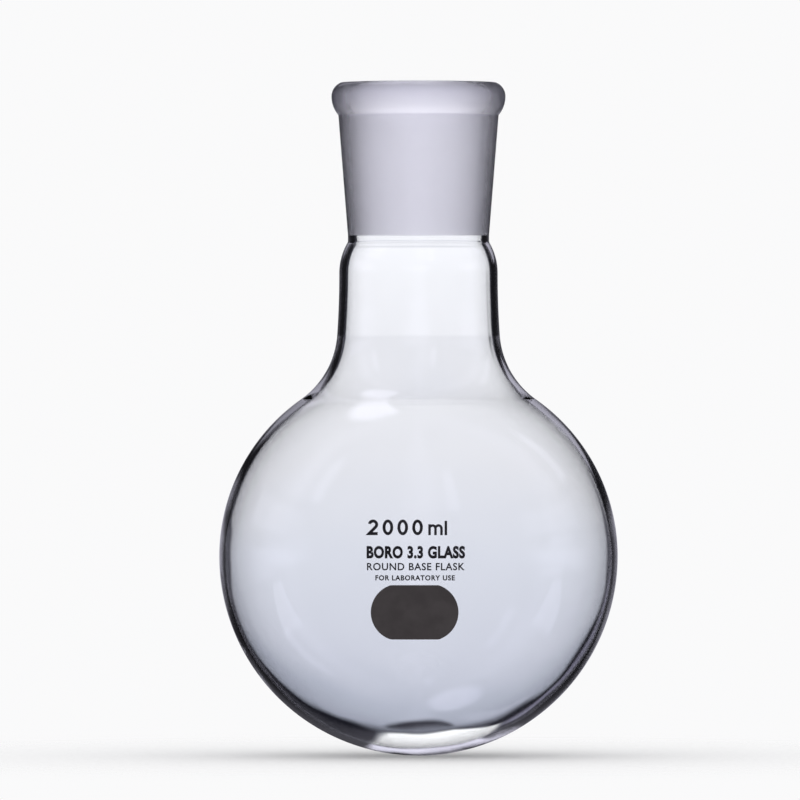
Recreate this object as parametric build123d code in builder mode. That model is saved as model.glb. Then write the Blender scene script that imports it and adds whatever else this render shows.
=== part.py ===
from build123d import *
import os
from math import sqrt

# Two litre round bottom flask with a wide ground taper socket, in millimetres.
# It stands on the lowest point of its bulb, which is the origin. +Z is the flask's axis, up
# through the mouth, and the enamel marks face -Y. The glassblower's sections (bulb, neck, ground
# socket and rim bead) meet face to face on flat rings where the hot glass was sealed together.

os.makedirs("parts", exist_ok=True)

# Bulb: a sphere below its equator, and a slightly flatter arc above it. The shoulder turns into the
# neck with the same fillet inside and outside, so the glass is a little thicker there.
bulb_radius = 83.0
bulb_wall = 2.4
shoulder_offset = 3.2
shoulder_radius = bulb_radius - shoulder_offset
shoulder_fillet = 36.0
shoulder_bore_fillet = 36.0
shoulder_top = 178.0

# Neck: it flares gently down to the shoulder, and is drawn in to a waist under the socket.
neck_radius = 33.0
neck_wall = 2.6
flare_top = 201.0
flare_radius = 380.0
waist_radius = 29.4
waist_height = 215.0
draw_in_radius = 25.0
waist_fillet = 2.0

# Ground socket: the bore tapers 1 in 10 on diameter, and is 60 mm across at the mouth.
mouth_height = 280.4
mouth_bore_radius = 30.0
taper_per_mm = 0.05
ground_length = 63.8
ground_bottom = mouth_height - ground_length
socket_top = 266.4
socket_top_radius = 33.35

# Rim bead: the rolled lip round the mouth.
bead_radius = 36.25
bead_widest_height = 274.6
bead_upper_round = 6.2
bead_lower_round = 12.0
bead_root_height = 266.8
bead_root_fillet = 0.8
mouth_edge_round = 0.5
lip_edge_round = 0.8

# Enamel marks, fired on the front of the bulb.
enamel = 0.12
digit_height = 6.4
digit_width = 4.4
digit_pitch = 6.08
digit_stroke = 1.25
two_bowl_radius = 1.45
unit_stroke = 1.05
m_height = 4.5
m_arch_radius = 1.22
l_height = 5.9
print_base = 92.7
first_digit_x = -18.75
m_centre_x = 6.85
l_centre_x = 11.1
glass_type_size = (40.4, 5.2)
glass_type_centre = (-1.2, 85.7)
description_size = (40.1, 3.1)
description_centre = (-1.2, 79.8)
usage_size = (32.6, 2.2)
usage_centre = (-1.5, 75.2)
patch_width = 36.0
patch_height = 22.4
patch_end_bulge = 8.2
patch_corner = 4.0
patch_centre = (-1.7, 61.0)


def bore_radius(z):
    """Radius of the ground bore at height z."""
    return mouth_bore_radius - taper_per_mm * (mouth_height - z)


def shoulder_height(r, wall):
    """Height where the shoulder arc, set in by the wall, reaches radius r."""
    return bulb_radius + sqrt((shoulder_radius - wall) ** 2 - (r - shoulder_offset) ** 2)


def flare_x(z, wall):
    """Radius of the neck's flare at height z, set in by the wall."""
    radius = flare_radius + wall
    return neck_radius + flare_radius - sqrt(radius**2 - (z - flare_top) ** 2)


def flare_meets_shoulder(wall_neck, wall_bulb):
    """The corner, before its fillet, between the neck's flare and the shoulder arc."""
    z = shoulder_top
    for _ in range(30):
        z = shoulder_height(flare_x(z, wall_neck), wall_bulb)
    return flare_x(z, wall_neck), z


def save(piece, name):
    """Label a finished piece and write its STEP file."""
    piece.part.label = name
    export_step(piece.part, f"parts/{name}.step")


def make_bulb():
    """The blown bulb: a closed shell of revolution, open at its shoulder where the neck is sealed on."""
    outer_corner = flare_meets_shoulder(0, 0)
    inner_corner = flare_meets_shoulder(neck_wall, bulb_wall)
    inner_radius = bulb_radius - bulb_wall
    equator = bulb_radius
    with BuildPart() as bulb:
        with BuildSketch(Plane.XZ) as section:
            with BuildLine():
                CenterArc((0, equator), bulb_radius, -90, 90)
                RadiusArc((bulb_radius, equator), outer_corner, -shoulder_radius)
                RadiusArc(outer_corner, (flare_x(shoulder_top, 0), shoulder_top), flare_radius)
                Line(
                    (flare_x(shoulder_top, 0), shoulder_top),
                    (flare_x(shoulder_top, neck_wall), shoulder_top),
                )
                RadiusArc(
                    (flare_x(shoulder_top, neck_wall), shoulder_top),
                    inner_corner,
                    -(flare_radius + neck_wall),
                )
                RadiusArc(inner_corner, (inner_radius, equator), shoulder_radius - bulb_wall)
                CenterArc((0, equator), inner_radius, 0, -90)
                Line((0, bulb_wall), (0, 0))
            make_face()
            for corner, radius in (
                (outer_corner, shoulder_fillet),
                (inner_corner, shoulder_bore_fillet),
            ):
                fillet(section.vertices().sort_by_distance(corner)[0], radius)
        revolve(axis=Axis.Z)
    return bulb


def make_neck():
    """The neck tube, from the shoulder up to the waist where the socket is sealed on."""
    waist_bore = waist_radius - neck_wall
    neck_bore = neck_radius - neck_wall
    draw_in_x = neck_radius - draw_in_radius
    draw_in_bore = draw_in_radius - neck_wall
    outer_notch = flare_top + sqrt(draw_in_radius**2 - (waist_radius - draw_in_x) ** 2)
    inner_notch = flare_top + sqrt(draw_in_bore**2 - (waist_bore - draw_in_x) ** 2)
    with BuildPart() as neck:
        with BuildSketch(Plane.XZ) as section:
            with BuildLine():
                RadiusArc((flare_x(shoulder_top, 0), shoulder_top), (neck_radius, flare_top), flare_radius)
                RadiusArc((neck_radius, flare_top), (waist_radius, outer_notch), -draw_in_radius)
                Line((waist_radius, outer_notch), (waist_radius, waist_height))
                Line((waist_radius, waist_height), (waist_bore, waist_height))
                Line((waist_bore, waist_height), (waist_bore, inner_notch))
                RadiusArc((waist_bore, inner_notch), (neck_bore, flare_top), draw_in_bore)
                RadiusArc(
                    (neck_bore, flare_top),
                    (flare_x(shoulder_top, neck_wall), shoulder_top),
                    -(flare_radius + neck_wall),
                )
                Line(
                    (flare_x(shoulder_top, neck_wall), shoulder_top),
                    (flare_x(shoulder_top, 0), shoulder_top),
                )
            make_face()
            for corner, radius in (
                ((waist_radius, outer_notch), waist_fillet),
                ((waist_bore, inner_notch), waist_fillet + neck_wall),
            ):
                fillet(section.vertices().sort_by_distance(corner)[0], radius)
        revolve(axis=Axis.Z)
    return neck


def make_ground_socket():
    """The socket: ground taper inside, and a wall that thickens towards the mouth."""
    with BuildPart() as ground_socket:
        with BuildSketch(Plane.XZ):
            with BuildLine():
                Polyline(
                    (waist_radius, waist_height),
                    (waist_radius, ground_bottom),
                    (socket_top_radius, socket_top),
                    (bore_radius(socket_top), socket_top),
                    (bore_radius(ground_bottom), ground_bottom),
                    (waist_radius - neck_wall, waist_height),
                    close=True,
                )
            make_face()
        revolve(axis=Axis.Z)
    return ground_socket


def make_rim_bead():
    """The rolled lip: rounded outside, flat on top, with the end of the ground bore inside."""
    upper_x = bead_radius - bead_upper_round
    lower_x = bead_radius - bead_lower_round
    lip_x = upper_x + sqrt(bead_upper_round**2 - (mouth_height - bead_widest_height) ** 2)
    root_x = lower_x + sqrt(bead_lower_round**2 - (bead_root_height - bead_widest_height) ** 2)
    with BuildPart() as rim_bead:
        with BuildSketch(Plane.XZ) as section:
            with BuildLine():
                Line((socket_top_radius, socket_top), (root_x, bead_root_height))
                RadiusArc((root_x, bead_root_height), (bead_radius, bead_widest_height), -bead_lower_round)
                RadiusArc((bead_radius, bead_widest_height), (lip_x, mouth_height), -bead_upper_round)
                Line((lip_x, mouth_height), (mouth_bore_radius, mouth_height))
                Line((mouth_bore_radius, mouth_height), (bore_radius(socket_top), socket_top))
                Line((bore_radius(socket_top), socket_top), (socket_top_radius, socket_top))
            make_face()
            for x, z, radius in (
                (root_x, bead_root_height, bead_root_fillet),
                (lip_x, mouth_height, lip_edge_round),
                (mouth_bore_radius, mouth_height, mouth_edge_round),
            ):
                fillet(section.vertices().sort_by_distance((x, z))[0], radius)
        revolve(axis=Axis.Z)
    return rim_bead


def make_enamel_skin():
    """A skin as thick as the enamel over the bulb's front, from which every mark is cut."""
    low = 40.0
    high = 105.0
    low_x = sqrt(bulb_radius**2 - (low - bulb_radius) ** 2)
    high_x = shoulder_offset + sqrt(shoulder_radius**2 - (high - bulb_radius) ** 2)
    proud = bulb_radius + enamel
    low_proud_x = sqrt(proud**2 - (low - bulb_radius) ** 2)
    high_proud_x = shoulder_offset + sqrt((shoulder_radius + enamel) ** 2 - (high - bulb_radius) ** 2)
    with BuildPart() as skin:
        with BuildSketch(Plane.XZ):
            with BuildLine():
                RadiusArc((low_x, low), (bulb_radius, bulb_radius), -bulb_radius)
                RadiusArc((bulb_radius, bulb_radius), (high_x, high), -shoulder_radius)
                Line((high_x, high), (high_proud_x, high))
                RadiusArc((high_proud_x, high), (proud, bulb_radius), shoulder_radius + enamel)
                RadiusArc((proud, bulb_radius), (low_proud_x, low), proud)
                Line((low_proud_x, low), (low_x, low))
            make_face()
        revolve(axis=Axis.Z)
    return skin.part


def cut_from_skin(outline, skin):
    """Carry a flat outline forwards on to the bulb and keep what it cuts from the enamel skin."""
    with BuildPart() as mark:
        with BuildSketch(Plane.XZ):
            add(outline)
        extrude(amount=bulb_radius + 1)
        add(skin, mode=Mode.INTERSECT)
    return mark


def draw_two():
    """The figure 2, standing on y = 0: a bowl, a diagonal at 45 degrees and a foot."""
    half = digit_stroke / 2
    bowl_y = digit_height - half - two_bowl_radius
    diagonal_start = (two_bowl_radius / sqrt(2), bowl_y - two_bowl_radius / sqrt(2))
    foot_x = diagonal_start[0] - (diagonal_start[1] - half)
    with BuildSketch() as two:
        with BuildLine():
            CenterArc((0, bowl_y), two_bowl_radius, -45, 215)
            Line(diagonal_start, (foot_x, half))
            Line((foot_x, half), (digit_width / 2 - half / 2, half))
        trace(line_width=digit_stroke)
    return two.sketch


def draw_zero():
    """The figure 0, standing on y = 0: an upright oval ring."""
    with BuildSketch() as zero:
        with Locations((0, digit_height / 2)):
            Ellipse(digit_width / 2, digit_height / 2)
            Ellipse(digit_width / 2 - digit_stroke, digit_height / 2 - digit_stroke, mode=Mode.SUBTRACT)
    return zero.sketch


def draw_m():
    """The letter m, standing on y = 0: three stems and two arches."""
    spring = m_height - unit_stroke / 2 - m_arch_radius
    with BuildSketch() as letter:
        with BuildLine():
            Line((-2 * m_arch_radius, 0), (-2 * m_arch_radius, m_height))
            for x in (-m_arch_radius, m_arch_radius):
                CenterArc((x, spring), m_arch_radius, 0, 180)
                Line((x + m_arch_radius, spring), (x + m_arch_radius, 0))
        trace(line_width=unit_stroke)
    return letter.sketch


def make_capacity_number(skin):
    """The capacity, 2000, in plain round figures."""
    with BuildSketch() as figures:
        with Locations((first_digit_x, print_base)):
            add(draw_two())
        for place in (1, 2, 3):
            with Locations((first_digit_x + place * digit_pitch, print_base)):
                add(draw_zero())
    return cut_from_skin(figures.sketch, skin)


def make_capacity_unit(skin):
    """Its unit, ml."""
    with BuildSketch() as letters:
        with Locations((m_centre_x, print_base)):
            add(draw_m())
        with Locations((l_centre_x, print_base)):
            Rectangle(unit_stroke, l_height, align=(Align.CENTER, Align.MIN))
    return cut_from_skin(letters.sketch, skin)


def make_print_line(skin, size, centre):
    """The ground that one line of small print covers."""
    with BuildSketch() as line:
        with Locations(centre):
            Rectangle(*size)
    return cut_from_skin(line.sketch, skin)


def make_writing_patch(skin):
    """The dark patch for pencil notes: flat above and below, with bowed ends."""
    half_flat = patch_width / 2 - patch_end_bulge
    half_height = patch_height / 2
    with BuildSketch() as outline:
        with BuildLine():
            Line((-half_flat, half_height), (half_flat, half_height))
            ThreePointArc((half_flat, half_height), (patch_width / 2, 0), (half_flat, -half_height))
            Line((half_flat, -half_height), (-half_flat, -half_height))
            ThreePointArc((-half_flat, -half_height), (-patch_width / 2, 0), (-half_flat, half_height))
        make_face()
        fillet(outline.vertices(), patch_corner)
    return cut_from_skin(Pos(*patch_centre) * outline.sketch, skin)


save(make_bulb(), "bulb")
save(make_neck(), "neck")
save(make_ground_socket(), "ground_socket")
save(make_rim_bead(), "rim_bead")

enamel_skin = make_enamel_skin()
save(make_capacity_number(enamel_skin), "capacity_number")
save(make_capacity_unit(enamel_skin), "capacity_unit")
save(make_writing_patch(enamel_skin), "writing_patch")
save(make_print_line(enamel_skin, glass_type_size, glass_type_centre), "glass_type_line")
save(make_print_line(enamel_skin, description_size, description_centre), "description_line")
save(make_print_line(enamel_skin, usage_size, usage_centre), "usage_line")
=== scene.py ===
from math import asin, atan2, cos, hypot, pi, sin, sqrt

import bmesh
import bpy
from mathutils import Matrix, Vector, noise


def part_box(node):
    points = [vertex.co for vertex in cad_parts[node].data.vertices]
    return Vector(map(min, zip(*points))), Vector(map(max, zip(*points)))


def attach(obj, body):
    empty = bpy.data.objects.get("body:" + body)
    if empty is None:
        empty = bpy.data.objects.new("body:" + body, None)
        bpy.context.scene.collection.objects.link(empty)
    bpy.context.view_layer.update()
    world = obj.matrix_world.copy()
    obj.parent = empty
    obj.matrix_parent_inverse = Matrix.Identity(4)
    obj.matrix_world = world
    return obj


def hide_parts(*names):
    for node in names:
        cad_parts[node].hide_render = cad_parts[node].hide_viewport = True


# Looks of the two-litre round bottom flask. Lengths are in metres, in the CAD model's frame: the
# origin is the lowest point of the bulb, +Z is the flask's axis and the marks face -Y.

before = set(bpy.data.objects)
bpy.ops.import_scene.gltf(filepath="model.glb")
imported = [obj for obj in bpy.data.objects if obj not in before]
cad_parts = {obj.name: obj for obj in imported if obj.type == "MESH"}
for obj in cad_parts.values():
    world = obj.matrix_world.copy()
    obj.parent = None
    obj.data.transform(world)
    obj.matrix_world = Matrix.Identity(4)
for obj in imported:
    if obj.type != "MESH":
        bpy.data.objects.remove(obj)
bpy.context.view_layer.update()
scene = bpy.context.scene
MM = 0.001
BODY = "root"

# ---------------------------------------------------------------- sizes

# Heights and radii that the frame gives.
bulb_low, bulb_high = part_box("bulb")
neck_low, neck_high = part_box("neck")
socket_low, socket_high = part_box("ground_socket")
bead_low, bead_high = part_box("rim_bead")
BULB_RADIUS = (bulb_high.x - bulb_low.x) / 2
SHOULDER_TOP = bulb_high.z
WAIST_HEIGHT = neck_high.z
SOCKET_TOP = socket_high.z
SOCKET_TOP_RADIUS = (socket_high.x - socket_low.x) / 2
MOUTH_HEIGHT = bead_high.z
BEAD_RADIUS = (bead_high.x - bead_low.x) / 2

# The rest of the outline, as the CAD model has it.
BULB_WALL = 2.4 * MM
SHOULDER_OFFSET = 3.2 * MM
SHOULDER_RADIUS = BULB_RADIUS - SHOULDER_OFFSET
SHOULDER_FILLET = 36.0 * MM
SHOULDER_BORE_FILLET = 36.0 * MM
NECK_RADIUS = 33.0 * MM
NECK_WALL = 2.6 * MM
FLARE_TOP = 201.0 * MM
FLARE_RADIUS = 380.0 * MM
WAIST_RADIUS = 29.4 * MM
DRAW_IN_RADIUS = 25.0 * MM
WAIST_FILLET = 2.0 * MM
GROUND_BOTTOM = MOUTH_HEIGHT - 63.8 * MM
MOUTH_BORE_RADIUS = 30.0 * MM
TAPER = 0.05
BEAD_WIDEST_HEIGHT = 274.6 * MM
BEAD_UPPER_ROUND = 6.2 * MM
BEAD_LOWER_ROUND = 12.0 * MM
BEAD_ROOT_HEIGHT = 266.8 * MM
BEAD_ROOT_FILLET = 0.8 * MM
MOUTH_EDGE_ROUND = 0.5 * MM
LIP_EDGE_ROUND = 0.8 * MM
ENAMEL = 0.12 * MM

GLASS_IOR = 1.474
TURNS = 320


# ---------------------------------------------------------------- outlines of the glass sections

class Outline:
    """One stretch of a section's outline, as points with normals in the plane through the axis."""

    def __init__(self, slot, wave=0.0):
        self.slot = slot
        self.wave = wave
        self.points = []

    def add(self, r, z, nr, nz):
        if self.points:
            last = self.points[-1]
            if hypot(last[0] - r, last[1] - z) < 1e-7:
                return
        self.points.append((max(r, 0.0), z, nr, nz))

    def arc(self, centre, radius, start, end, hollow=False, spacing=1.5 * MM):
        """A round stretch between two angles. Its normals point away from its centre, or to it if hollow."""
        steps = max(6, int(abs(end - start) * radius / spacing))
        side = -1 if hollow else 1
        for i in range(steps + 1):
            a = start + (end - start) * i / steps
            self.add(centre[0] + radius * cos(a), centre[1] + radius * sin(a), side * cos(a), side * sin(a))
        return self

    def line(self, a, b, side=1, spacing=3.0 * MM):
        """A straight stretch. Its normals are on its right, or on its left if side is -1."""
        length = hypot(b[0] - a[0], b[1] - a[1])
        nr, nz = side * (b[1] - a[1]) / length, -side * (b[0] - a[0]) / length
        steps = max(1, int(length / spacing))
        for i in range(steps + 1):
            t = i / steps
            self.add(a[0] + (b[0] - a[0]) * t, a[1] + (b[1] - a[1]) * t, nr, nz)
        return self

    def turned(self):
        self.points.reverse()
        return self

    def ends(self):
        return self.points[0][:2], self.points[-1][:2]


def bore_radius(z):
    return MOUTH_BORE_RADIUS - TAPER * (MOUTH_HEIGHT - z)


def angle(centre, point):
    return atan2(point[1] - centre[1], point[0] - centre[0])


def between(a, low, high):
    """The angle a, by whole turns, from low to high."""
    while a < low:
        a += 2 * pi
    while a > high:
        a -= 2 * pi
    return a


def crossing(c1, r1, c2, r2, side):
    """Where two circles cross, on the left of the way from the first centre to the second if side is 1."""
    dx, dz = c2[0] - c1[0], c2[1] - c1[1]
    d = hypot(dx, dz)
    along = (d * d + r1 * r1 - r2 * r2) / (2 * d)
    across = side * sqrt(r1 * r1 - along * along)
    return c1[0] + (along * dx - across * dz) / d, c1[1] + (along * dz + across * dx) / d


SHOULDER_CENTRE = (SHOULDER_OFFSET, BULB_RADIUS)
FLARE_CENTRE = (NECK_RADIUS + FLARE_RADIUS, FLARE_TOP)
DRAW_IN_CENTRE = (NECK_RADIUS - DRAW_IN_RADIUS, FLARE_TOP)


def flare_angle(z, wall):
    """The angle, seen from the flare's centre, at which its wall is at height z."""
    return pi - asin((z - FLARE_TOP) / (FLARE_RADIUS + wall))


def bulb_surface(slot, wall_bulb, wall_neck, fillet, hollow, wave):
    """The bulb's outer or inner surface, from its lowest point up to its seam with the neck."""
    surface = Outline(slot, wave)
    shoulder = SHOULDER_RADIUS - wall_bulb
    flare = FLARE_RADIUS + wall_neck
    centre = crossing(SHOULDER_CENTRE, shoulder + fillet, FLARE_CENTRE, flare - fillet, 1)
    to_shoulder = between(angle(centre, SHOULDER_CENTRE), -pi, pi)
    to_flare = between(angle(FLARE_CENTRE, centre), 0, 2 * pi)
    surface.arc((0, BULB_RADIUS), BULB_RADIUS - wall_bulb, -pi / 2, 0, hollow)
    surface.arc(SHOULDER_CENTRE, shoulder, 0, angle(SHOULDER_CENTRE, centre), hollow)
    surface.arc(centre, fillet, to_shoulder, to_flare - 2 * pi, not hollow, 1.2 * MM)
    surface.arc(FLARE_CENTRE, flare, to_flare, flare_angle(SHOULDER_TOP, wall_neck), not hollow, 1.2 * MM)
    return surface


def neck_surface(slot, wall, wave, hollow):
    """The neck's outer or inner surface, from its seam with the bulb up to its seam with the socket."""
    surface = Outline(slot, wave)
    round_in, waist = DRAW_IN_RADIUS - wall, WAIST_RADIUS - wall
    notch_x = WAIST_RADIUS + WAIST_FILLET
    rise = sqrt((DRAW_IN_RADIUS + WAIST_FILLET) ** 2 - (notch_x - DRAW_IN_CENTRE[0]) ** 2)
    notch = (notch_x, FLARE_TOP + rise)
    meets = angle(DRAW_IN_CENTRE, notch)
    start = flare_angle(SHOULDER_TOP, wall)
    surface.arc(FLARE_CENTRE, FLARE_RADIUS + wall, start, pi, not hollow, 1.2 * MM)
    surface.arc(DRAW_IN_CENTRE, round_in, 0, meets, hollow, 0.5 * MM)
    surface.arc(notch, WAIST_FILLET + wall, meets - pi, -pi, not hollow, 0.25 * MM)
    surface.line((waist, notch[1]), (waist, WAIST_HEIGHT), -1 if hollow else 1, 0.6 * MM)
    return surface


def bead_surface(slot, wave):
    """The rolled lip, from the seam with the socket, round the outside and over to the mouth's edge."""
    surface = Outline(slot, wave)
    upper = (BEAD_RADIUS - BEAD_UPPER_ROUND, BEAD_WIDEST_HEIGHT)
    lower = (BEAD_RADIUS - BEAD_LOWER_ROUND, BEAD_WIDEST_HEIGHT)
    seam = (SOCKET_TOP_RADIUS, SOCKET_TOP)
    root_x = lower[0] + sqrt(BEAD_LOWER_ROUND**2 - (BEAD_ROOT_HEIGHT - BEAD_WIDEST_HEIGHT) ** 2)
    slope = Vector((root_x - seam[0], BEAD_ROOT_HEIGHT - seam[1])).normalized()
    out = Vector((slope.y, -slope.x))
    start = Vector(seam) + out * BEAD_ROOT_FILLET
    away = start - Vector(lower)
    b = away.dot(slope)
    run = -b - sqrt(b * b - away.length_squared + (BEAD_LOWER_ROUND + BEAD_ROOT_FILLET) ** 2)
    root = start + slope * run
    surface.line(seam, tuple(root - out * BEAD_ROOT_FILLET), 1, 0.4 * MM)
    from_side = between(angle(root, root - out), 0, 2 * pi)
    to_bead = between(angle(root, lower), 0, 2 * pi)
    surface.arc(tuple(root), BEAD_ROOT_FILLET, from_side, to_bead, True, 0.15 * MM)
    surface.arc(lower, BEAD_LOWER_ROUND, angle(lower, root), 0, False, 0.5 * MM)
    lip_z = MOUTH_HEIGHT - LIP_EDGE_ROUND
    lip = (upper[0] + sqrt((BEAD_UPPER_ROUND - LIP_EDGE_ROUND) ** 2 - (lip_z - upper[1]) ** 2), lip_z)
    surface.arc(upper, BEAD_UPPER_ROUND, 0, angle(upper, lip), False, 0.5 * MM)
    surface.arc(lip, LIP_EDGE_ROUND, angle(upper, lip), pi / 2, False, 0.15 * MM)
    edge = (MOUTH_BORE_RADIUS + MOUTH_EDGE_ROUND, MOUTH_HEIGHT - MOUTH_EDGE_ROUND)
    surface.line((lip[0], MOUTH_HEIGHT), (edge[0], MOUTH_HEIGHT), 1, 0.4 * MM)
    surface.arc(edge, MOUTH_EDGE_ROUND, pi / 2, pi, False, 0.1 * MM)
    return surface


# ---------------------------------------------------------------- meshes

def unevenness(point):
    """How far blown glass strays from its true surface at a point, from about -1 to 1."""
    return noise.noise(point * 24) * 0.75 + noise.noise(point * 61 + Vector((3, 5, 7))) * 0.25


def stray(point, normal, amount):
    """The point and its normal, moved by the unevenness of the glass."""
    if not amount:
        return point, normal
    step = 1 * MM
    here = unevenness(point)
    slope = Vector([
        (unevenness(point + axis * step) - here) / step
        for axis in (Vector((1, 0, 0)), Vector((0, 1, 0)), Vector((0, 0, 1)))
    ])
    slope -= normal * slope.dot(normal)
    return point + normal * (here * amount), (normal - slope * amount).normalized()


def revolve(name, stretches, materials):
    """A closed glass section: its stretches, one after another round its outline, turned about the axis."""
    rings, ring_of = [], {}
    for stretch in stretches:
        for r, z, nr, nz in stretch.points:
            key = (round(r, 6), round(z, 6))
            if key not in ring_of or stretch.wave and not rings[ring_of[key]][4]:
                if key in ring_of:
                    rings[ring_of[key]] = (r, z, nr, nz, stretch.wave)
                else:
                    ring_of[key] = len(rings)
                    rings.append((r, z, nr, nz, stretch.wave))
    verts, first = [], []
    for r, z, nr, nz, wave in rings:
        first.append(len(verts))
        for i in range(TURNS if r > 1e-6 else 1):
            c, s = cos(2 * pi * i / TURNS), sin(2 * pi * i / TURNS)
            verts.append(stray(Vector((r * c, r * s, z)), Vector((nr * c, nr * s, nz)), wave)[0])
    faces, normals, slots = [], [], []
    for stretch in stretches:
        known = {}
        for p, q in zip(stretch.points, stretch.points[1:]):
            ring_p = ring_of[(round(p[0], 6), round(p[1], 6))]
            ring_q = ring_of[(round(q[0], 6), round(q[1], 6))]
            for i in range(TURNS):
                loop, seen = [], set()
                corners = ((ring_p, i, p), (ring_p, i + 1, p), (ring_q, i + 1, q), (ring_q, i, q))
                for ring, turn, point in corners:
                    turn = turn % TURNS
                    v = first[ring] + (turn if point[0] > 1e-6 else 0)
                    if v in seen:
                        continue
                    seen.add(v)
                    loop.append(v)
                    if (ring, turn) not in known:
                        c, s = cos(2 * pi * turn / TURNS), sin(2 * pi * turn / TURNS)
                        at = Vector((point[0] * c, point[0] * s, point[1]))
                        out = Vector((point[2] * c, point[2] * s, point[3]))
                        known[(ring, turn)] = stray(at, out, stretch.wave)[1]
                    normals.append(known[(ring, turn)])
                faces.append(loop)
                slots.append(stretch.slot)
    mesh = bpy.data.meshes.new(name)
    mesh.from_pydata(verts, [], faces)
    mesh.polygons.foreach_set("material_index", slots)
    mesh.polygons.foreach_set("use_smooth", [True] * len(faces))
    for material in materials:
        mesh.materials.append(material)
    mesh.normals_split_custom_set(normals)
    mesh.update()
    piece = bpy.data.objects.new(name, mesh)
    scene.collection.objects.link(piece)
    return piece


def seam(slot, a, b):
    """The flat ring where a section meets the next one, as one long step."""
    return Outline(slot).line(a, b, 1, 10 * MM)


# ---------------------------------------------------------------- materials

class Graph:
    """A short way to build a node tree."""

    def __init__(self, tree):
        self.tree = tree
        tree.nodes.clear()

    def node(self, kind, inputs=None, **settings):
        made = self.tree.nodes.new(kind)
        for key, value in settings.items():
            setattr(made, key, value)
        for key, value in (inputs or {}).items():
            self.put(made.inputs[key], value)
        return made

    def put(self, socket, value):
        if isinstance(value, bpy.types.NodeSocket):
            self.tree.links.new(value, socket)
        else:
            socket.default_value = value

    def math(self, operation, *values):
        made = self.node("ShaderNodeMath", operation=operation)
        for socket, value in zip(made.inputs, values):
            self.put(socket, value)
        return made.outputs[0]

    def times(self, first, *others):
        for other in others:
            first = self.math("MULTIPLY", first, other)
        return first

    def plus(self, first, *others):
        for other in others:
            first = self.math("ADD", first, other)
        return first

    def largest(self, first, *others):
        for other in others:
            first = self.math("MAXIMUM", first, other)
        return first

    def smooth(self, value, start, end, low=0.0, high=1.0):
        """Low up to start, high from end on, and a smooth step between."""
        made = self.node("ShaderNodeMapRange", interpolation_type="SMOOTHSTEP")
        for socket, given in zip(made.inputs, (value, start, end, low, high)):
            self.put(socket, given)
        return made.outputs[0]

    def mix(self, factor, a, b):
        made = self.node("ShaderNodeMix", data_type="RGBA")
        self.put(made.inputs[0], factor)
        self.put(made.inputs[6], a)
        self.put(made.inputs[7], b)
        return made.outputs[2]

    def ramp(self, value, stops):
        made = self.node("ShaderNodeValToRGB", inputs={"Fac": value})
        elements = made.color_ramp.elements
        while len(elements) < len(stops):
            elements.new(0.5)
        for element, (position, colour) in zip(elements, stops):
            element.position = position
            element.color = (*colour, 1)
        return made.outputs[0]

    def grain(self, at, scale, detail=2.0, roughness=0.5):
        made = self.node("ShaderNodeTexNoise", inputs={"Vector": at, "Scale": scale, "Detail": detail})
        made.inputs["Roughness"].default_value = roughness
        return made.outputs[0]


def material(name):
    made = bpy.data.materials.new(name)
    made.use_nodes = True
    graph = Graph(made.node_tree)
    output = graph.node("ShaderNodeOutputMaterial")
    at = graph.node("ShaderNodeTexCoord").outputs["Object"]
    return made, graph, output, at


def clear_glass():
    """Fire-polished borosilicate glass: smooth, with the faint ripple of a blown surface."""
    made, g, output, at = material("clear_borosilicate")
    ripple = g.grain(at, 55.0, 1.0)
    bump = g.node("ShaderNodeBump", inputs={"Strength": 0.06, "Distance": 0.0004, "Height": ripple})
    film = g.smooth(g.grain(at, 18.0, 3.0), 0.45, 0.75, 0.0, 0.02)
    shader = g.node("ShaderNodeBsdfPrincipled", inputs={
        "Base Color": (0.955, 0.962, 0.975, 1),
        "Roughness": film,
        "IOR": GLASS_IOR,
        "Transmission Weight": 1.0,
        "Normal": bump.outputs[0],
    })
    g.put(output.inputs["Surface"], shader.outputs[0])
    return made


def rim_glass():
    """The rolled lip: heavier glass, polished in the flame to a soft satin that varies a little."""
    made, g, output, at = material("satin_rim_borosilicate")
    cloud = g.grain(at, 90.0, 2.0)
    fine = g.grain(at, 1400.0, 2.0, 0.6)
    bump = g.node("ShaderNodeBump", inputs={"Strength": 0.12, "Distance": 0.00008, "Height": fine})
    tone = g.mix(cloud, (0.90, 0.90, 0.97, 1), (0.94, 0.94, 0.99, 1))
    shader = g.node("ShaderNodeBsdfPrincipled", inputs={
        "Base Color": tone,
        "Roughness": g.math("ADD", 0.11, g.math("MULTIPLY", cloud, 0.08)),
        "IOR": GLASS_IOR,
        "Transmission Weight": 1.0,
        "Normal": bump.outputs[0],
    })
    g.put(output.inputs["Surface"], shader.outputs[0])
    return made


def ground_glass():
    """The bore's ground surface: an even, fine, matt grain with faint rings from the grinding."""
    made, g, output, at = material("ground_borosilicate")
    fine = g.grain(at, 2600.0, 3.0, 0.7)
    coarse = g.grain(at, 420.0, 2.0)
    height = g.node("ShaderNodeSeparateXYZ", inputs={"Vector": at}).outputs[2]
    rings = g.math("SINE", g.math("MULTIPLY", height, 5200.0))
    relief = g.math("ADD", g.math("MULTIPLY", fine, 0.7), g.math("MULTIPLY", coarse, 0.3))
    relief = g.math("ADD", relief, g.math("MULTIPLY", rings, 0.02))
    bump = g.node("ShaderNodeBump", inputs={"Strength": 0.35, "Distance": 0.00006, "Height": relief})
    rough = g.math("ADD", 0.54, g.math("MULTIPLY", coarse, 0.12))
    tone = g.mix(coarse, (0.88, 0.865, 0.95, 1), (0.95, 0.935, 1.0, 1))
    shader = g.node("ShaderNodeBsdfPrincipled", inputs={
        "Base Color": tone,
        "Roughness": rough,
        "IOR": GLASS_IOR,
        "Transmission Weight": 1.0,
        "Normal": bump.outputs[0],
    })
    g.put(output.inputs["Surface"], shader.outputs[0])
    return made


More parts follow.
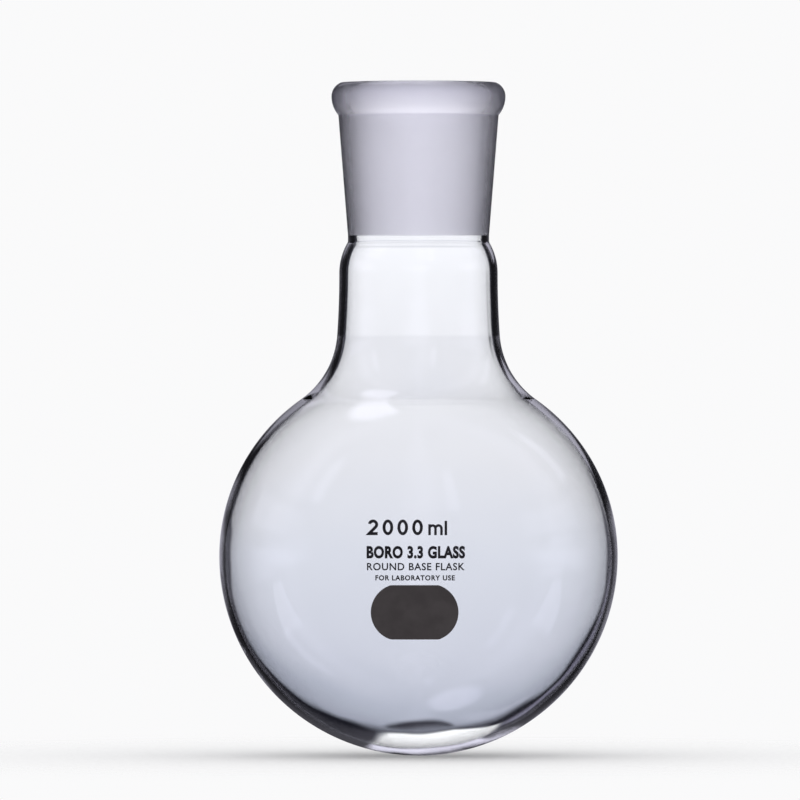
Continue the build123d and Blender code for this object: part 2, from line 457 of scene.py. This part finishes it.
def fused_seam():
    """Where two sections are fused into one: nothing shows there."""
    made, g, output, _ = material("fused_joint")
    g.put(output.inputs["Surface"], g.node("ShaderNodeBsdfTransparent").outputs[0])
    return made


def enamel(name, colour, worn):
    """Fired enamel print: dense, nearly matt, with a fine grain and a slightly patchy tone."""
    made, g, output, at = material(name)
    grain = g.grain(at, 1500.0, 3.0, 0.7)
    patches = g.grain(at, 130.0, 3.0)
    light = tuple(min(1.0, c * (1 + worn) + 0.004) for c in colour)
    dark = tuple(c * (1 - worn) for c in colour)
    tone = g.mix(g.smooth(patches, 0.3, 0.7), (*dark, 1), (*light, 1))
    speck = tuple(min(1.0, c * 2.2 + 0.01) for c in colour)
    tone = g.mix(g.smooth(grain, 0.62, 0.78, 0.0, 0.35), tone, (*speck, 1))
    bump = g.node("ShaderNodeBump", inputs={"Strength": 0.4, "Distance": 0.00003, "Height": grain})
    shader = g.node("ShaderNodeBsdfPrincipled", inputs={
        "Base Color": tone,
        "Roughness": g.math("ADD", 0.42, g.math("MULTIPLY", patches, 0.22)),
        "IOR": 1.5,
        "Normal": bump.outputs[0],
    })
    g.put(output.inputs["Surface"], shader.outputs[0])
    return made


# ---------------------------------------------------------------- the flask

CLEAR = clear_glass()
GROUND = ground_glass()
FUSED = fused_seam()
RIM = rim_glass()
GLASS_SLOTS = (CLEAR, GROUND, FUSED, RIM)
CLEAR_SLOT, GROUND_SLOT, FUSED_SLOT, RIM_SLOT = range(len(GLASS_SLOTS))

# How far blown glass strays, on its outside and on its inside. The socket and the bead are true.
OUTER_WAVE = 0.02 * MM
INNER_WAVE = 0.12 * MM

outer_bulb = bulb_surface(CLEAR_SLOT, 0.0, 0.0, SHOULDER_FILLET, False, OUTER_WAVE)
inner_bulb = bulb_surface(CLEAR_SLOT, BULB_WALL, NECK_WALL, SHOULDER_BORE_FILLET, True, INNER_WAVE).turned()
outer_neck = neck_surface(CLEAR_SLOT, 0.0, OUTER_WAVE, False)
inner_neck = neck_surface(CLEAR_SLOT, NECK_WALL, INNER_WAVE, True).turned()

top_of_bulb = seam(FUSED_SLOT, outer_bulb.ends()[1], inner_bulb.ends()[0])
bulb = revolve("bulb_glass", [outer_bulb, top_of_bulb, inner_bulb], GLASS_SLOTS)

foot_of_neck = seam(FUSED_SLOT, inner_neck.ends()[1], outer_neck.ends()[0])
top_of_neck = seam(FUSED_SLOT, outer_neck.ends()[1], inner_neck.ends()[0])
neck = revolve("neck_glass", [outer_neck, top_of_neck, inner_neck, foot_of_neck], GLASS_SLOTS)

waist_bore = (WAIST_RADIUS - NECK_WALL, WAIST_HEIGHT)
waist_side = (WAIST_RADIUS, WAIST_HEIGHT)
cone_foot = (WAIST_RADIUS, GROUND_BOTTOM)
cone_top = (SOCKET_TOP_RADIUS, SOCKET_TOP)
ground_top = (bore_radius(SOCKET_TOP), SOCKET_TOP)
ground_foot = (bore_radius(GROUND_BOTTOM), GROUND_BOTTOM)
socket = revolve("socket_glass", [
    Outline(CLEAR_SLOT).line(waist_side, cone_foot, 1, 0.8 * MM),
    Outline(CLEAR_SLOT).line(cone_foot, cone_top, 1, 1.6 * MM),
    seam(FUSED_SLOT, cone_top, ground_top),
    Outline(GROUND_SLOT).line(ground_top, ground_foot, 1, 1.2 * MM),
    Outline(CLEAR_SLOT).line(ground_foot, waist_bore, 1, 0.8 * MM),
    seam(FUSED_SLOT, waist_bore, waist_side),
], GLASS_SLOTS)

lip = bead_surface(RIM_SLOT, 0.0)
bead = revolve("bead_glass", [
    lip,
    Outline(GROUND_SLOT).line(lip.ends()[1], ground_top, 1, 1.2 * MM),
    seam(FUSED_SLOT, ground_top, cone_top),
], GLASS_SLOTS)

for piece, node, finish in (
    (bulb, "bulb", "clear_glass"),
    (neck, "neck", "clear_glass"),
    (socket, "ground_socket", "frosted_glass"),
    (bead, "rim_bead", "frosted_glass"),
):
    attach(piece, BODY)
    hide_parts(node)


# ---------------------------------------------------------------- the fired enamel marks

PRINT = enamel("dark_print_enamel", (0.012, 0.011, 0.019), 0.25)
PATCH = enamel("charcoal_patch_enamel", (0.050, 0.041, 0.044), 0.07)


def bulb_front(x, z, lift=0.0):
    """The point on the bulb's front, or that far above the glass, at x and height z."""
    if z < BULB_RADIUS:
        r = sqrt((BULB_RADIUS + lift) ** 2 - (z - BULB_RADIUS) ** 2)
    else:
        r = SHOULDER_OFFSET + sqrt((SHOULDER_RADIUS + lift) ** 2 - (z - BULB_RADIUS) ** 2)
    return Vector((x, -sqrt(r * r - x * x), z))


def print_line(name, words, node, spread, bold):
    """A line of print as wide as the CAD strip it stands for, standing proud of the bulb by the enamel."""
    low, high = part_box(node)
    text = bpy.data.curves.new(name, "FONT")
    text.body = words
    text.size = 1.0
    text.space_character = spread
    text.offset = bold
    text.resolution_u = 4
    flat = bpy.data.objects.new(name, text)
    mesh = bpy.data.meshes.new_from_object(flat)
    bpy.data.objects.remove(flat)
    bpy.data.curves.remove(text)
    shape = bmesh.new()
    shape.from_mesh(mesh)
    bpy.data.meshes.remove(mesh)
    bmesh.ops.remove_doubles(shape, verts=shape.verts, dist=1e-5)
    xs = [v.co.x for v in shape.verts]
    ys = [v.co.y for v in shape.verts]
    left, foot = min(xs), min(ys)
    wide = (high.x - low.x) / (max(xs) - left)
    tall = (high.z - low.z) / (max(ys) - foot)
    made = bmesh.ops.extrude_face_region(shape, geom=shape.faces[:])
    tops = {v for v in made["geom"] if isinstance(v, bmesh.types.BMVert)}
    for v in shape.verts:
        x = low.x + (v.co.x - left) * wide
        z = low.z + (v.co.y - foot) * tall
        v.co = bulb_front(x, z, ENAMEL if v in tops else 0.0)
    bmesh.ops.recalc_face_normals(shape, faces=shape.faces)
    mesh = bpy.data.meshes.new(name)
    shape.to_mesh(mesh)
    shape.free()
    mesh.materials.append(PRINT)
    piece = bpy.data.objects.new(name, mesh)
    scene.collection.objects.link(piece)
    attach(piece, BODY)
    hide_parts(node)


print_line("glass_type_print", "BORO 3.3 GLASS", "glass_type_line", 1.08, 0.05)
print_line("description_print", "ROUND BASE FLASK", "description_line", 1.10, 0.02)
print_line("usage_print", "FOR LABORATORY USE", "usage_line", 1.14, 0.035)

for node in ("capacity_number", "capacity_unit"):
    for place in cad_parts[node].material_slots:
        place.material = PRINT
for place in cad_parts["writing_patch"].material_slots:
    place.material = PATCH


# ---------------------------------------------------------------- studio

# The glass shows a dome with a pattern of light and dark. Directions on the dome are in degrees: turn
# is sideways from the nearest quarter turn about Z, and rise is upwards. Its heights are in metres.
# A pair of numbers is where a smooth step starts and ends.
PALE = (0.955, 0.955, 0.96, 1)
DOME_RADIUS = 1.2
DOME_CENTRE = Vector((0, 0, 0.1))

# The window at each quarter turn, with the dark flags round it. Its left edge moves from the first
# place to the second as it rises.
LEFT_EDGE_RISE = (0.0, 3.5)
LEFT_EDGE = (-12.8, -18.0)
RIGHT_EDGE = 13.4
LEFT_DEPTH, LEFT_ROUNDNESS = 10.6, 4.0
RIGHT_DEPTH, RIGHT_ROUNDNESS = 9.8, 2.2
FLAG_EDGE = (0.92, 1.10)
FLAG_TOP, FLAG_LEAN = (7.0, 14.0), 0.45
FLAG_FOOT = (-31.0, -25.0)
CORNER_REACH, CORNER_TOP = 66.0, (2.4, 6.0)
SIDE_FLAG, SIDE_FLAG_FOOT = (19.0, 24.0), (-16.0, -12.0)
BAR_ARCH, BAR_TOP, BAR_END = 0.32, (-8.6, -7.8), (1.5, 2.6)
BAR_FOOT = (-10.6, -8.8)
STREAK_INSIDE, STREAK_OUTSIDE = (1.12, 1.32), (1.36, 1.62)
STREAK_TURN, STREAK_TOP = (4.5, 7.0), (-4.0, -1.5)
FLAG_SHADE = (0.009, 0.009, 0.017, 1)
STREAK_SHADE = (0.46, 0.44, 0.60, 1)
TABLE_LIGHT = (1.85, 1.85, 1.83, 1)
TABLE_MIDDLE, TABLE_SLOPE = 1.3, 0.32
TABLE_EDGE, TABLE_LEAN, TABLE_LEAN_FROM = (-10.9, -10.1), 0.4, 2.0

# Extra windows behind the flask as seen from 45,25 and 225,15, and from there only. From the other
# diagonals, such as 135,25 and 315,15, the flags make the glass look nearly black.
OBLIQUE_VIEWS = ((-0.641, 0.641, -0.4226), (0.683, -0.683, -0.259))
OBLIQUE_INSIDE, OBLIQUE_OUTSIDE = 13, 16

# What the glass mirrors.
SIDE_HEIGHT = (0.11, 0.17)
LAMP_WAY = Vector((-0.244, 0.256, 0.935)).normalized()
LAMP_INSIDE, LAMP_OUTSIDE, LAMP_LIGHT = 7, 13, 1.4
MIRROR_TINT = (0.94, 0.92, 1.08)
WALL_CROSSINGS = 2.0

world = bpy.data.worlds.new("studio")
scene.world = world
world.use_nodes = True
g = Graph(world.node_tree)
g.put(
    g.node("ShaderNodeOutputWorld").inputs["Surface"],
    g.node("ShaderNodeBackground", inputs={"Color": PALE}).outputs[0],
)
world.cycles.sampling_method = "NONE"


def degrees_of(g, kind, *values):
    return g.math("DEGREES", g.math(kind, *values))


def near_to(g, way, to, inside, outside, low, high):
    """A smooth step over the angle from a direction: low outside, high inside, in degrees."""
    near = g.node("ShaderNodeVectorMath", operation="DOT_PRODUCT", inputs={0: way, 1: to}).outputs[1]
    return g.smooth(near, cos(pi * outside / 180), cos(pi * inside / 180), low, high)


def rounded(g, wide, deep, power):
    """How far out a direction is, in a frame with rounded corners: 1 on the frame."""
    total = g.plus(g.math("POWER", wide, power), g.math("POWER", deep, power))
    return g.math("POWER", total, 1.0 / power)


def window_frame(g, turn, rise):
    """How far out a direction is from the window, on its left and on its right: 1 on its edge."""
    left_edge = g.smooth(rise, *LEFT_EDGE_RISE, *LEFT_EDGE)
    left = g.largest(g.math("DIVIDE", turn, left_edge), 0.0)
    right = g.largest(g.math("DIVIDE", turn, RIGHT_EDGE), 0.0)
    down = g.largest(g.times(rise, -1.0), 0.0)
    round_left = rounded(g, left, g.math("DIVIDE", down, LEFT_DEPTH), LEFT_ROUNDNESS)
    round_right = rounded(g, right, g.math("DIVIDE", down, RIGHT_DEPTH), RIGHT_ROUNDNESS)
    return round_left, round_right


def flags(g, way, turn, rise, round_left, round_right, lens):
    """Where it is dark: the flags round the window, and the arched bar below it."""
    aside = g.math("ABSOLUTE", turn)
    corner = g.times(g.largest(g.times(turn, -1.0), 0.0), g.largest(rise, 0.0))
    corner = g.times(g.math("DIVIDE", corner, CORNER_REACH), g.smooth(rise, *CORNER_TOP, 1.0, 0.0))
    dark = g.smooth(g.largest(round_left, round_right, corner), *FLAG_EDGE)
    tilted = g.plus(rise, g.times(turn, FLAG_LEAN))
    dark = g.times(dark, g.smooth(tilted, *FLAG_TOP, 1.0, 0.0))
    dark = g.largest(dark, g.times(g.smooth(aside, *SIDE_FLAG), g.smooth(rise, *SIDE_FLAG_FOOT)))
    arched = g.plus(rise, g.times(turn, turn, BAR_ARCH))
    bar = g.times(g.smooth(arched, *BAR_TOP, 0.97, 0.0), g.smooth(rise, *BAR_FOOT, 0.4, 1.0))
    dark = g.largest(dark, g.times(bar, g.smooth(aside, *BAR_END, 1.0, 0.0)))
    dark = g.times(dark, g.math("SUBTRACT", 1.0, lens))
    for to in OBLIQUE_VIEWS:
        dark = g.times(dark, near_to(g, way, to, OBLIQUE_INSIDE, OBLIQUE_OUTSIDE, 1.0, 0.0))
    return g.times(dark, g.smooth(rise, *FLAG_FOOT, 0.0, 1.0))


def seen_through(g, way, turn, rise, height):
    """What is seen straight through the glass: windows, with flags, a bar and a streak round them."""
    round_left, round_right = window_frame(g, turn, rise)
    inner = g.smooth(round_right, *STREAK_INSIDE)
    inner = g.times(inner, g.smooth(round_right, *STREAK_OUTSIDE, 1.0, 0.0))
    part = g.times(g.smooth(turn, *STREAK_TURN), g.smooth(rise, *STREAK_TOP, 1.0, 0.0))
    streak = g.times(inner, part)
    lens = lit_table(g, turn, rise)
    dark = flags(g, way, turn, rise, round_left, round_right, lens)
    pale = g.ramp(g.math("DIVIDE", g.plus(height, 0.3), 0.8), (
        (0.00, (0.90, 0.92, 0.98)),
        (0.22, (0.50, 0.53, 0.64)),
        (0.31, (0.62, 0.65, 0.76)),
        (0.37, (0.78, 0.80, 0.90)),
        (0.46, (0.88, 0.90, 0.98)),
        (0.55, (1.01, 1.01, 1.05)),
        (0.64, (1.15, 1.15, 1.18)),
        (0.76, (1.25, 1.25, 1.29)),
    ))
    pale = g.mix(lens, pale, TABLE_LIGHT)
    return g.mix(dark, pale, g.mix(streak, FLAG_SHADE, STREAK_SHADE))


def lit_table(g, turn, rise):
    """Where the lit table shows through the bottom of the bulb: a wedge below each window."""
    from_middle = g.math("ABSOLUTE", g.math("SUBTRACT", turn, TABLE_MIDDLE))
    wedge = g.plus(from_middle, g.times(rise, TABLE_SLOPE))
    lean = g.times(g.largest(g.math("SUBTRACT", turn, TABLE_LEAN_FROM), 0.0), TABLE_LEAN)
    below = g.smooth(g.plus(rise, lean), *TABLE_EDGE, 1.0, 0.0)
    return g.times(below, g.smooth(wedge, -0.6, 0.6, 1.0, 0.0))


def mirrored_cards(g, aside, right, height, in_wall):
    """A low card on the right, seen only inside the wall, and a high one on the left."""
    low = g.times(g.smooth(height, 0.28, 0.33), g.smooth(height, 0.50, 0.56, 1.0, 0.0), in_wall)
    high = g.times(g.smooth(height, 0.60, 0.66), g.smooth(height, 0.95, 1.10, 1.0, 0.0))
    right = g.largest(right, g.smooth(aside, 20.0, 16.0, 0.0, 0.7))
    card = g.largest(g.times(low, right), g.times(high, g.math("SUBTRACT", 1.0, right)))
    return g.times(card, g.smooth(aside, 24.0, 28.0, 0.6, 0.0))


def seen_mirrored(g, way, turn, rise, height, crossed):
    """What the glass mirrors: a dim bluish room with cards, the lit table and a soft lamp."""
    aside = g.math("ABSOLUTE", turn)
    right = g.smooth(turn, -3.0, 3.0)
    low_side = g.smooth(aside, 27.0, 8.0, 0.022, 0.44)
    high_side = g.smooth(aside, 13.0, 7.0, 0.009, 0.18)
    side = g.smooth(height, *SIDE_HEIGHT, low_side, high_side)
    side = g.times(side, g.smooth(g.plus(rise, g.times(right, 4.0)), -8.0, -3.0, 0.15, 1.0))
    from_wall = g.math("ABSOLUTE", g.math("SUBTRACT", crossed, WALL_CROSSINGS))
    in_wall = g.math("LESS_THAN", from_wall, 0.5)
    card = mirrored_cards(g, aside, right, height, in_wall)
    level = g.plus(side, card, g.smooth(height, 0.95, 1.10, 0.0, 0.05))
    table = g.times(lit_table(g, turn, rise), g.smooth(rise, -34.0, -28.0, 0.0, 1.15))
    level = g.plus(level, g.times(table, in_wall))
    level = g.plus(level, near_to(g, way, LAMP_WAY, LAMP_INSIDE, LAMP_OUTSIDE, 0.0, LAMP_LIGHT))
    channels = {i: g.times(level, tint) for i, tint in enumerate(MIRROR_TINT)}
    return g.node("ShaderNodeCombineColor", inputs=channels).outputs[0]


def studio_dome():
    """What the glass and the enamel's gloss show. It lights nothing else and hides from the camera."""
    shape = bmesh.new()
    bmesh.ops.create_icosphere(shape, subdivisions=5, radius=DOME_RADIUS)
    bmesh.ops.translate(shape, verts=shape.verts, vec=DOME_CENTRE)
    bmesh.ops.reverse_faces(shape, faces=shape.faces)
    mesh = bpy.data.meshes.new("studio_dome")
    shape.to_mesh(mesh)
    shape.free()
    made = bpy.data.materials.new("studio_dome")
    made.use_nodes = True
    made.cycles.emission_sampling = "NONE"
    g = Graph(made.node_tree)
    at = g.node("ShaderNodeNewGeometry").outputs["Position"]
    offset = g.node("ShaderNodeVectorMath", operation="SUBTRACT", inputs={0: at, 1: DOME_CENTRE})
    way = g.node("ShaderNodeVectorMath", operation="NORMALIZE", inputs={0: offset.outputs[0]}).outputs[0]
    x, y, z = g.node("ShaderNodeSeparateXYZ", inputs={"Vector": way}).outputs
    turn = g.math("WRAP", degrees_of(g, "ARCTAN2", x, y), 45.0, -45.0)
    rise = degrees_of(g, "ARCSINE", z)
    height = g.node("ShaderNodeSeparateXYZ", inputs={"Vector": at}).outputs[2]
    path = g.node("ShaderNodeLightPath").outputs
    bounced = g.math("SUBTRACT", path["Ray Depth"], path["Transmission Depth"])
    mirrored = g.math("GREATER_THAN", bounced, 0.5)
    through = seen_through(g, way, turn, rise, height)
    mirror = seen_mirrored(g, way, turn, rise, height, path["Transmission Depth"])
    shown = g.mix(mirrored, through, mirror)
    light = g.node("ShaderNodeEmission", inputs={"Color": shown})
    g.put(g.node("ShaderNodeOutputMaterial").inputs["Surface"], light.outputs[0])
    mesh.materials.append(made)
    dome = bpy.data.objects.new("studio_dome", mesh)
    scene.collection.objects.link(dome)
    dome.visible_camera = False
    dome.visible_diffuse = False
    dome.visible_shadow = False


def studio_floor():
    """A small pale table top that fades into the pale room. The glass doesn't show it."""
    shape = bmesh.new()
    bmesh.ops.create_circle(shape, cap_ends=True, segments=96, radius=0.42)
    mesh = bpy.data.meshes.new("studio_floor")
    shape.to_mesh(mesh)
    shape.free()
    made = bpy.data.materials.new("studio_floor")
    made.use_nodes = True
    g = Graph(made.node_tree)
    at = g.node("ShaderNodeTexCoord").outputs["Object"]
    away = g.node("ShaderNodeVectorMath", operation="LENGTH", inputs={0: at}).outputs[1]
    seen = g.node("ShaderNodeLightPath").outputs["Is Camera Ray"]
    cover = g.math("MULTIPLY", seen, g.smooth(away, 0.06, 0.38, 0.7, 0.0))
    top = g.node("ShaderNodeBsdfDiffuse", inputs={"Color": (0.98, 0.98, 0.985, 1)})
    gone = g.node("ShaderNodeBsdfTransparent")
    mixed = g.node("ShaderNodeMixShader", inputs={0: cover, 1: gone.outputs[0], 2: top.outputs[0]})
    g.put(g.node("ShaderNodeOutputMaterial").inputs["Surface"], mixed.outputs[0])
    mesh.materials.append(made)
    floor = bpy.data.objects.new("studio_floor", mesh)
    floor.location.z = -0.0002
    scene.collection.objects.link(floor)


studio_dome()
studio_floor()

# A long lens from far off, about level with the middle of the flask.
CAMERA_LENS = 540
CAMERA_SENSOR = 36
CAMERA_REACH = 50
CAMERA_PLACE = (-0.0077, -5.0, 0.1481)

camera_data = bpy.data.cameras.new("camera")
camera_data.lens = CAMERA_LENS
camera_data.sensor_width = CAMERA_SENSOR
camera_data.clip_end = CAMERA_REACH
camera = bpy.data.objects.new("camera", camera_data)
camera.location = CAMERA_PLACE
camera.rotation_euler = (pi / 2, 0, 0)
scene.collection.objects.link(camera)
scene.camera = camera
scene.view_settings.view_transform = "Standard"

# Light goes round inside the thick glass of the shoulder many times before it comes out.
scene.cycles.max_bounces = 32
scene.cycles.glossy_bounces = 24
scene.cycles.transmission_bounces = 32
scene.cycles.transparent_max_bounces = 24
